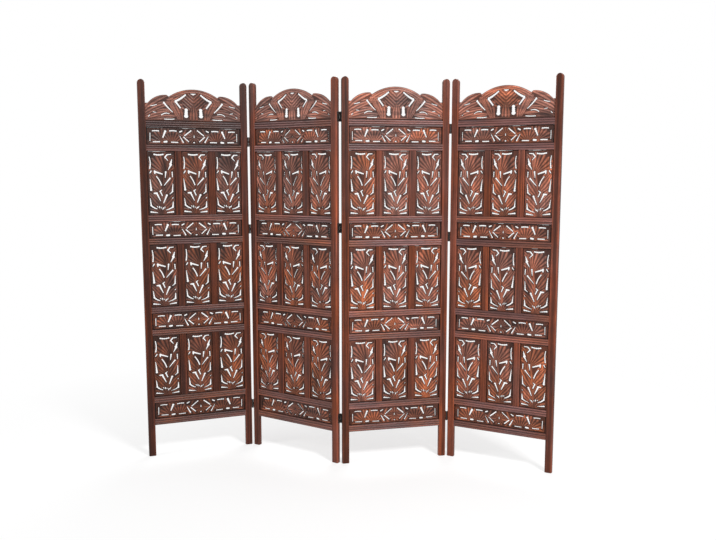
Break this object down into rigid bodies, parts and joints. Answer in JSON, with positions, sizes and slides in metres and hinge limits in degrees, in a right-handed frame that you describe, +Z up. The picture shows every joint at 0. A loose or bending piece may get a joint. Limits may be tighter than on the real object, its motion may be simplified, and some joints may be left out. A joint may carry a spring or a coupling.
{
  "type": "folding room screen",
  "caption": "Folding hardwood room screen of framed jali panels with pierced carved boards, reeded rails, arched crests and butt hinges.",
  "frame": {"origin": "on the floor under the middle of the standing screen's bounding box", "axes": "+X along the screen from its left end to its right, +Y to the back, +Z up"},
  "size_m": [1.9662, 0.2682, 1.83],
  "materials": {
    "stile_wood": "polished dark reddish-brown hardwood",
    "rail_wood": "polished dark hardwood with a cool sheen",
    "muntin_wood": "polished dark reddish-brown hardwood",
    "carved_wood": "carved hardwood, waxed on the high places and dull in the cuts",
    "hinge_steel": "blackened steel",
    "hinge_pin": "blackened steel"
  },
  "bodies": {
    "panel_1": {"panel_1_left_stile": "stile_wood", "panel_1_right_stile": "stile_wood", "panel_1_bottom_rail": "rail_wood", "panel_1_tier_rails": "rail_wood", "panel_1_top_rail": "rail_wood", "panel_1_crest": "carved_wood", "panel_1_friezes": "carved_wood", "panel_1_muntins": "muntin_wood", "panel_1_tier_1_boards": "carved_wood", "panel_1_tier_2_boards": "carved_wood", "panel_1_tier_3_boards": "carved_wood", "hinge_1_2_left_leaves": "hinge_steel", "hinge_1_2_pins": "hinge_pin"},
    "panel_2": {"panel_2_left_stile": "stile_wood", "panel_2_right_stile": "stile_wood", "panel_2_bottom_rail": "rail_wood", "panel_2_tier_rails": "rail_wood", "panel_2_top_rail": "rail_wood", "panel_2_crest": "carved_wood", "panel_2_friezes": "carved_wood", "panel_2_muntins": "muntin_wood", "panel_2_tier_1_boards": "carved_wood", "panel_2_tier_2_boards": "carved_wood", "panel_2_tier_3_boards": "carved_wood", "hinge_1_2_right_leaves": "hinge_steel", "hinge_2_3_left_leaves": "hinge_steel", "hinge_2_3_pins": "hinge_pin"},
    "panel_3": {"panel_3_left_stile": "stile_wood", "panel_3_right_stile": "stile_wood", "panel_3_bottom_rail": "rail_wood", "panel_3_tier_rails": "rail_wood", "panel_3_top_rail": "rail_wood", "panel_3_crest": "carved_wood", "panel_3_friezes": "carved_wood", "panel_3_muntins": "muntin_wood", "panel_3_tier_1_boards": "carved_wood", "panel_3_tier_2_boards": "carved_wood", "panel_3_tier_3_boards": "carved_wood", "hinge_2_3_right_leaves": "hinge_steel", "hinge_3_4_left_leaves": "hinge_steel", "hinge_3_4_pins": "hinge_pin"},
    "panel_4": {"panel_4_left_stile": "stile_wood", "panel_4_right_stile": "stile_wood", "panel_4_bottom_rail": "rail_wood", "panel_4_tier_rails": "rail_wood", "panel_4_top_rail": "rail_wood", "panel_4_crest": "carved_wood", "panel_4_friezes": "carved_wood", "panel_4_muntins": "muntin_wood", "panel_4_tier_1_boards": "carved_wood", "panel_4_tier_2_boards": "carved_wood", "panel_4_tier_3_boards": "carved_wood", "hinge_3_4_right_leaves": "hinge_steel"}
  },
  "joints": [
    {"name": "left_fold", "type": "hinge", "parent": "panel_1", "child": "panel_2", "pos_m": [-0.50541, 0.1118, 0.9], "axis": [0, 0, -1], "range_deg": [-53, 127]},
    {"name": "middle_fold", "type": "hinge", "parent": "panel_2", "child": "panel_3", "pos_m": [-0.02055, -0.09308, 0.9], "axis": [0, 0, 1], "range_deg": [-45, 135]},
    {"name": "right_fold", "type": "hinge", "parent": "panel_3", "child": "panel_4", "pos_m": [0.48566, 0.05118, 0.9], "axis": [0, 0, -1], "range_deg": [-40, 140]}
  ]
}
